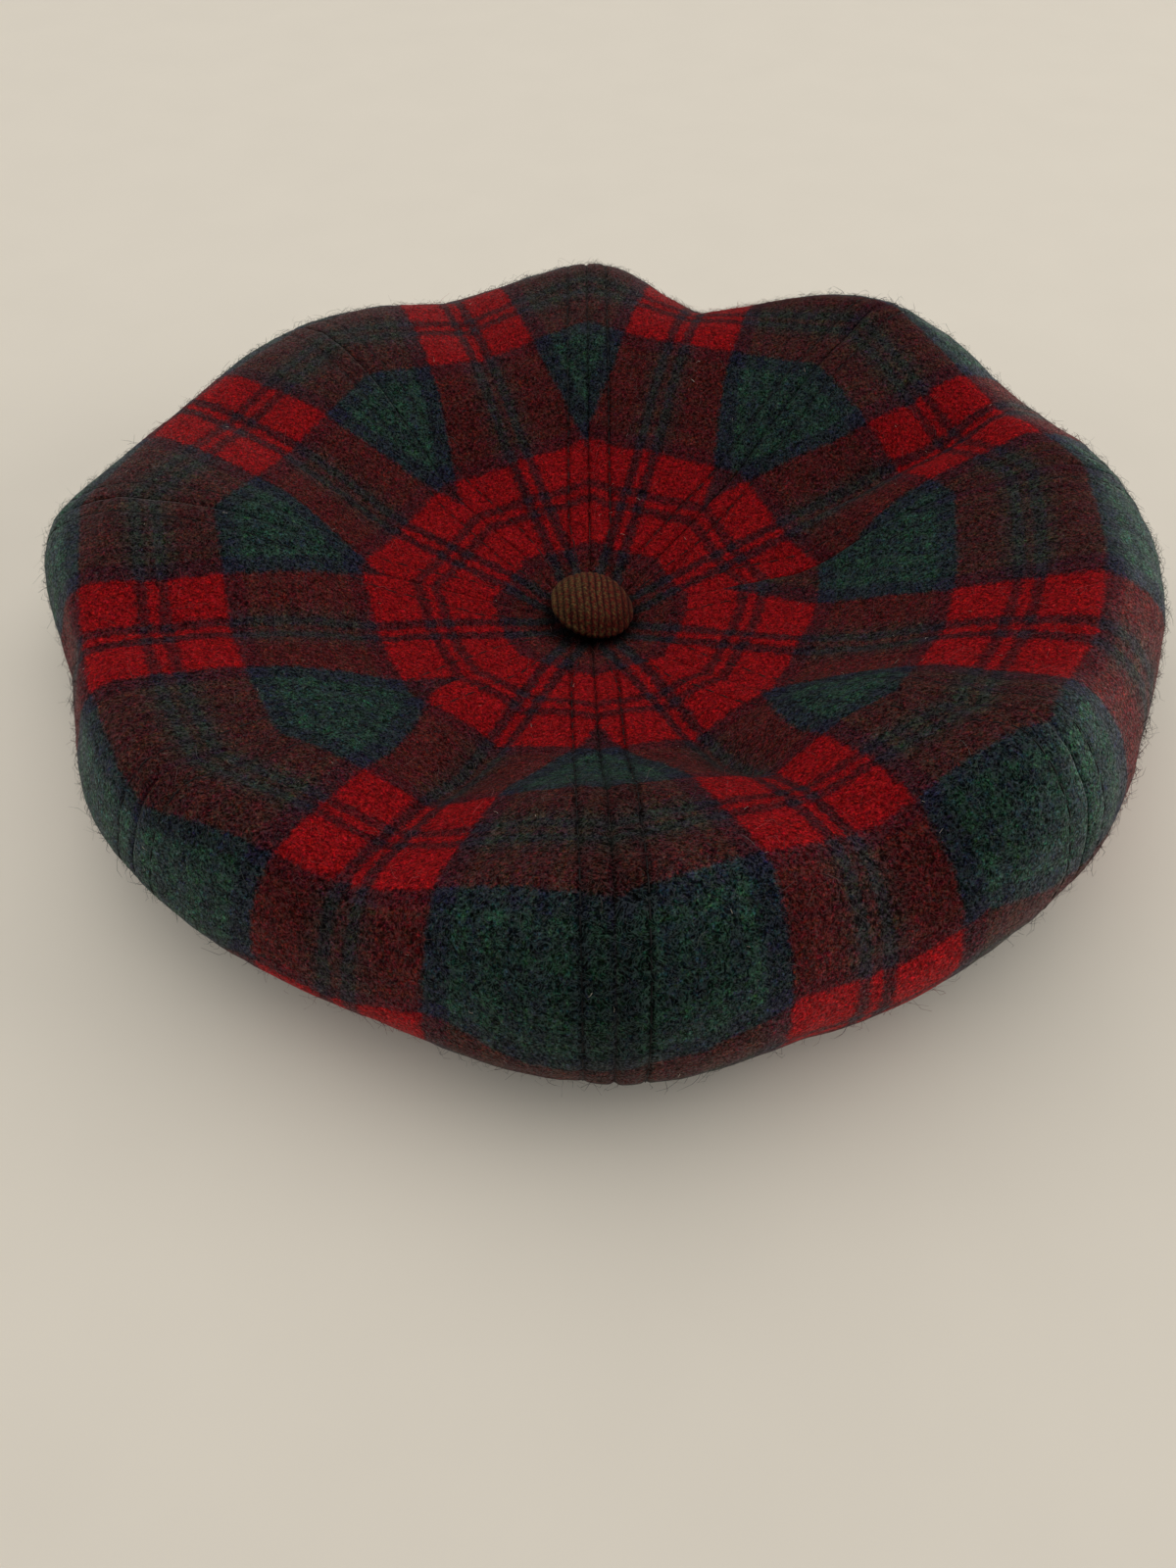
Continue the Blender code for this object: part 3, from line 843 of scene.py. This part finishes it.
def topstitch_points(grids):
    """Places, runs and lifts of the stitches beside every seam, from the button's edge to the headband."""
    found = []
    first_column = EDGE_COLUMNS.index(TOPSTITCH)
    for number, (outer, normal, _, _, length) in enumerate(grids):
        for column in (first_column, outer.shape[1] - 1 - first_column):
            line, up, far = outer[:, column], normal[:, column], length[:, column]
            at = np.arange(FIRST_STITCH + STITCH_STAGGER * (number % 3), far[-1] - LAST_STITCH, STITCH_PITCH)
            place, ahead, behind, rise = (
                np.stack([np.interp(where, far, rows[:, axis]) for axis in range(3)], axis=1)
                for where, rows in ((at, line), (at + 1.2, line), (at - 1.2, line), (at, up))
            )
            found.append((place, ahead - behind, rise))
    return [np.concatenate(rows) for rows in zip(*found)]


def stitch_places(name, places, runs, lifts):
    """Loose points, in mm, with the way each stitch runs and the way its middle lifts."""
    return mesh_object(name, places, [], vectors=(("run", runs), ("lift", lifts)))


def skin(grids, last_row):
    """The outer sides of some gores, down to a row, as one surface with the cloth coordinates, for hairs to grow on."""
    points, faces, cloth = [], [], []
    for outer, _, s, t, _ in grids:
        outer, s, t = outer[:last_row], s[:last_row], t[:last_row]
        rows, columns, _ = outer.shape
        ids = np.arange(rows * columns).reshape(rows, columns) + sum(len(p) for p in points)
        faces += grid_faces(ids).tolist()
        points.append(outer.reshape(-1, 3))
        cloth.append(np.stack((s.ravel(), t.ravel(), np.zeros(s.size)), axis=1))
    return mesh_object("skin", np.concatenate(points), faces, vectors=[("cloth", np.concatenate(cloth))])


def headband(surface):
    """A band of felted wool folded at its lower edge, with a seam at the back, for the head opening."""
    half = BAND_CLOTH / 2
    middle = BAND_RADIUS - half
    heights = (BAND_HEIGHT - 0.6, 20.0, 17.0, 14.0, 11.0, 8.5, 6.5, 5.4, 4.9, BAND_STITCHES, 4.1, 3.6, 2.6)
    outline = [(middle + half, z) for z in heights]
    outline += [(middle + half * math.cos(a), half + half * math.sin(a)) for a in np.linspace(0, -math.pi, 9)]
    outline += [(middle - half, z) for z in heights[::-1]]
    outline += [(middle - half + 0.5, BAND_HEIGHT), (middle + half - 0.5, BAND_HEIGHT)]
    angle = np.linspace(0, 2 * math.pi, BAND_STEPS, endpoint=False) + math.pi / 2
    radius, height = (np.repeat(np.array(outline)[:, axis][None], BAND_STEPS, axis=0) for axis in (0, 1))
    side = np.sign(radius - middle)
    groove = 0.3 * np.exp(-(((height - BAND_STITCHES) / 0.7) ** 2))
    from_back = np.minimum(angle - math.pi / 2, 2.5 * math.pi - angle)[:, None] * BAND_RADIUS
    join = 0.45 * np.exp(-((from_back / 0.9) ** 2))
    sway = 0.25 * np.sin(5 * angle + 0.7)[:, None] + 0.18 * np.sin(11 * angle)[:, None]
    sway = sway * np.clip(height / 10, 0, 1) * np.clip((BAND_HEIGHT - height) / 5, 0, 1)
    radius = radius - side * (groove + join) + sway - 0.25
    points = np.stack((radius * np.cos(angle)[:, None], radius * np.sin(angle)[:, None], height), axis=2)
    ids = np.arange(points.shape[0] * points.shape[1]).reshape(points.shape[:2])
    made = mesh_object("folded_headband", points.reshape(-1, 3), grid_faces(ids, (1, 1)).tolist(), surface)
    stitch_at = np.arange(0, 2 * math.pi, BAND_STITCH_PITCH / BAND_RADIUS)
    outward = np.stack((np.cos(stitch_at), np.sin(stitch_at), np.zeros(len(stitch_at))), axis=1)
    round_band = np.stack((-outward[:, 1], outward[:, 0], outward[:, 2]), axis=1)
    places = [outward * edge + (0, 0, BAND_STITCHES) for edge in (BAND_RADIUS - 0.5, BAND_RADIUS - BAND_CLOTH)]
    return made, (np.concatenate(places), np.tile(round_band, (2, 1)), np.concatenate((outward, -outward)))


def covered_button(surface):
    """A domed button to be covered in ribbed cloth, low enough by a rib's height, and closed beneath."""
    edge, corner = BUTTON_EDGE, BUTTON_EDGE * math.sqrt(0.5)
    outline = np.array((
        (0.0, edge + BUTTON_DOME),
        (0.4 * BUTTON_RADIUS, edge + 0.9 * BUTTON_DOME),
        (0.75 * BUTTON_RADIUS, edge + 0.55 * BUTTON_DOME),
        (BUTTON_RADIUS - edge + corner, edge / 2 + corner / 2 + 0.6),
        (BUTTON_RADIUS, edge / 2 + 0.3),
        (BUTTON_RADIUS - edge / 4, edge / 6),
        (BUTTON_RADIUS - edge / 2, 0.0),
        (BUTTON_RADIUS - edge, 0.0),
    ))
    far = np.concatenate(([0.0], np.cumsum(np.linalg.norm(np.diff(outline, axis=0), axis=1))))
    radius, height = smooth_curve(far, outline, np.linspace(0, far[-1], BUTTON_RINGS + 1))[1:].T[:, :, None]
    angle = np.linspace(0, 2 * math.pi, BUTTON_STEPS, endpoint=False)
    radius = radius - RIB_HEIGHT
    rings = np.stack((radius * np.cos(angle), radius * np.sin(angle), np.repeat(height, BUTTON_STEPS, 1)), axis=2)
    points = np.concatenate((rings.reshape(-1, 3), [(0, 0, height[0, 0]), (0, 0, 0.0)]))
    points[:, 2] -= RIB_HEIGHT
    tilt = Matrix.Rotation(BUTTON_TILT, 3, "X") @ Matrix.Rotation(BUTTON_LEAN, 3, "Y")
    points = points @ np.array(tilt).T
    points[:, 2] += SEAT_HEIGHT + SEAT_GAP + (BUTTON_RADIUS - edge / 2) * math.sin(BUTTON_LEAN) + RIB_HEIGHT
    ids = np.arange(BUTTON_RINGS * BUTTON_STEPS).reshape(BUTTON_RINGS, BUTTON_STEPS)
    faces = grid_faces(ids, (0, 1))[:, [0, 3, 2, 1]].tolist()
    faces += [(len(points) - 2, int(a), int(b)) for a, b in zip(ids[0], np.roll(ids[0], -1))]
    faces += [(len(points) - 1, int(b), int(a)) for a, b in zip(ids[-1], np.roll(ids[-1], -1))]
    return mesh_object("button_core", points, faces, surface)


def hair_sizes(density, length, width, curl, seed):
    """A hair tree's inputs: hairs to the square metre, their length, width and curl in mm, and the seed."""
    return {"Hairs per Square Metre": density, "Length": length, "Width": width, "Curl": curl, "Seed": seed}


# -------- build

wool = tartan_wool()
nap = nap_wool("raised_wool_nap", 0.02)
loose_wool = nap_wool("loose_wool_fibre", 0.08)
band_cloth = band_wool()
corded = ribbed_cloth()
# Smoke nylon thread, barely glossy, made nearly black so that it carries the stitch grooves' painted shade: each row of
# stitches is a fine dark line
thread_and_groove_shade = plain_material("smoke_nylon_thread_and_groove_shade", "0D0C0E", 500.0, 0.15, Roughness=0.5, Specular_IOR_Level=0.15)
# Navy cotton thread: matt
cotton = plain_material("navy_cotton_thread", "1A1C28", 2000.0, 0.3, Roughness=0.7, Specular_IOR_Level=0.3)
# Undyed wool lint: matt specks that stand out on the dark cloth
lint = plain_material("pale_wool_lint", "B9AFA4", 300.0, 0.2, Roughness=0.8, Specular_IOR_Level=0.3)

grids = []
for number in range(GORES):
    piece, grid = gore(number, wool)
    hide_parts(f"crown_gore_{number + 1}")
    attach(piece, "root")
    grids.append(grid)

band, band_stitches = headband(band_cloth)
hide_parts("headband")
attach(band, "root")

button = grown("ribbed_button", covered_button(corded), rib_tree(corded), {"Pitch": RIB_PITCH, "Height": RIB_HEIGHT})
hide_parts("button")
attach(button, "root")

crown_places = stitch_places("stitch_places", *topstitch_points(grids))
thread = {"Stitch Length": 3.7, "Thread Width": 0.34, "Bow": 0.2}
topstitches = grown("crown_topstitching", crown_places, stitch_tree(thread_and_groove_shade), thread)
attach(topstitches, "root")
band_places = stitch_places("band_places", *band_stitches)
thread = {"Stitch Length": 2.5, "Thread Width": 0.4, "Bow": 0.25}
band_stitching = grown("headband_stitching", band_places, stitch_tree(cotton), thread)
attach(band_stitching, "root")

# Raised hairs stand thick down to the rim, over four gores to a piece, and the turned-under side lies unbrushed
nap_hairs = hair_tree(nap)
for name, some in (("right", grids[1:5]), ("left", grids[5:] + grids[:1])):
    hairs = grown(f"raised_nap_{name}", skin(some, NAP_ROWS), nap_hairs, hair_sizes(210000.0, 2.6, 0.115, 4.0, 3))
    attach(hairs, "root")
loose_hairs = hair_tree(loose_wool)
strays = grown("stray_nap_hairs", skin(grids, STRAY_ROWS), loose_hairs, hair_sizes(70000.0, 4.2, 0.07, 8.0, 21))
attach(strays, "root")
specks = grown("wool_lint", skin(grids, ROWS), hair_tree(lint), hair_sizes(1500.0, 1.3, 0.14, 2.5, 8))
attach(specks, "root")

# -------- floor, light and camera

scene = bpy.context.scene
scene.view_settings.view_transform = "Standard"

# Matt white acrylic, lit faintly from beneath, so that no shadow on it is deep
TABLE_COLOUR = "D0CBC0"
table = plain_material(
    "matt_white_light_table", TABLE_COLOUR, 30.0, 0.01, Roughness=0.9, Specular_IOR_Level=0.2,
    Emission_Color=linear(TABLE_COLOUR), Emission_Strength=0.12,
)
bpy.ops.mesh.primitive_plane_add(size=9.0, location=(0, 0, -0.0002))
floor = bpy.context.object
floor.name = "floor"
floor.data.materials.append(table)

world = bpy.data.worlds.new("room")
world.use_nodes = True
room = world.node_tree
background = room.nodes["Background"]
background.inputs[0].default_value = linear("E9E6E3")
# The side that the hat is looked at from is the room's dark side
away = parted(room, add(room, "ShaderNodeTexCoord").outputs["Generated"])[1]
room.links.new(ramped(room, away, -0.7, 0.2, 0.10, 0.34), background.inputs[1])
scene.world = world


def softbox(name, place, size, watts):
    """A round soft lamp at a place in metres, turned towards the hat."""
    light = bpy.data.lights.new(name, "AREA")
    light.shape = "DISK"
    light.size = size
    light.energy = watts
    light.color = linear("FFFAF4")[:3]
    made = placed(name, light)
    made.location = place
    made.rotation_euler = (Vector((0, 0, 0.03)) - Vector(place)).to_track_quat("-Z", "Y").to_euler()
    made.visible_camera = False


softbox("ceiling_softbox", (-0.10, 0.50, 1.8), 3.6, 38.0)
softbox("right_softbox", (1.7, 0.0, 0.5), 1.2, 15.0)
softbox("left_softbox", (-1.7, 0.0, 0.5), 1.2, 6.0)

# The camera as fitted to the photo: its place in metres, its lens in mm, and how it is turned
CAMERA_PLACE = (0.0, -0.2516, 0.2346)
LENS, SENSOR = 27.0, 36.0
PITCH, PAN, ROLL = math.radians(50.182), math.radians(-0.098), math.radians(0.353)
camera = bpy.data.cameras.new("camera")
camera.lens = LENS
camera.sensor_width = SENSOR
camera.clip_start = 0.01
camera_object = placed("camera", camera)
ahead = Vector((0, math.cos(PITCH), -math.sin(PITCH)))
up = Vector((0, math.sin(PITCH), math.cos(PITCH)))
right = Vector((1, 0, 0))
ahead, right = math.cos(PAN) * ahead + math.sin(PAN) * right, math.cos(PAN) * right - math.sin(PAN) * ahead
right, up = math.cos(ROLL) * right + math.sin(ROLL) * up, math.cos(ROLL) * up - math.sin(ROLL) * right
turned = Matrix((right, up, -ahead)).transposed().to_4x4()
camera_object.matrix_world = Matrix.Translation(CAMERA_PLACE) @ turned
scene.camera = camera_object
